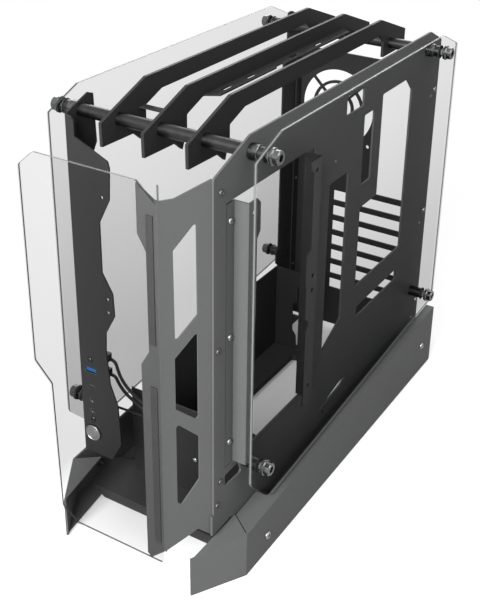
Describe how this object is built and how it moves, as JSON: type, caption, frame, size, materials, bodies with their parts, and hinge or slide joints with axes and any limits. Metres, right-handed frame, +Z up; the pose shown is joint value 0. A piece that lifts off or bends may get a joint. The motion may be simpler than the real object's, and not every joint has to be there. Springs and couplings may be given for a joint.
{
  "type": "mid-tower computer case",
  "caption": "Open-frame tower case of folded dark sheet and upright ribs on cross rods, with stand-off glass panes, front ports, a push button and long slanted feet.",
  "frame": {"origin": "middle of the bounding box, at the height of the surface it stands on", "axes": "+X to the right seen from the front, +Y to the rear, +Z up"},
  "size_m": [0.231, 0.498, 0.4304],
  "materials": {
    "charcoal_coat": "fine textured powder coat, dark charcoal",
    "black_coat": "fine textured powder coat, near black",
    "pane": "clear, slightly smoked toughened glass",
    "black_steel": "black plated steel, semi-gloss",
    "dark_chrome": "black chrome, polished",
    "screw_steel": "plated steel",
    "black_rubber": "matt",
    "bond_tape": "matt foam tape",
    "silver_button": "spun face, satin",
    "black_plastic": "matt",
    "blue_plastic": "matt",
    "port_steel": "plated shell",
    "circuit": "solder mask",
    "lead_jacket": "soft black cable jacket",
    "brass": "turned"
  },
  "bodies": {
    "case": {"right_side_plate": "charcoal_coat", "front_right_pillar": "charcoal_coat", "left_front_post": "black_coat", "left_rear_post": "black_coat", "rear_panel": "black_coat", "rib_left": "black_coat", "rib_centre": "black_coat", "rib_right": "black_coat", "front_cross_rod": "black_steel", "rear_cross_rod": "black_steel", "rod_collars": "dark_chrome", "glass_standoffs": "black_steel", "left_glass": "pane", "right_glass": "pane", "front_glass": "pane", "front_glass_tape": "bond_tape", "glass_knobs": "dark_chrome", "glass_washers": "black_rubber", "side_fan_rail_front": "charcoal_coat", "side_fan_rail_rear": "charcoal_coat", "bottom_pan": "charcoal_coat", "psu_bay": "black_coat", "top_strip": "black_coat", "right_foot": "charcoal_coat", "left_foot": "charcoal_coat", "foot_spacers": "black_steel", "foot_screws": "screw_steel", "foot_pads": "black_rubber", "pillar_screws": "screw_steel", "rail_screws": "screw_steel", "rear_panel_screws": "screw_steel", "pan_screws": "screw_steel", "motherboard_standoffs": "brass", "button_housing": "black_plastic", "io_board": "circuit", "usb_a_port": "port_steel", "usb_a_tongue": "blue_plastic", "usb_c_port": "port_steel", "audio_jacks": "black_plastic", "post_screws": "screw_steel", "port_leads": "lead_jacket", "port_hub": "black_plastic", "bay_screws": "screw_steel"},
    "power_button": {"power_button": "silver_button"}
  },
  "joints": [
    {"name": "power_button_press", "type": "slide", "parent": "case", "child": "power_button", "axis": [0, 1, 0], "range_m": [0, 0.0015], "stiffness_N_per_m": 700}
  ]
}
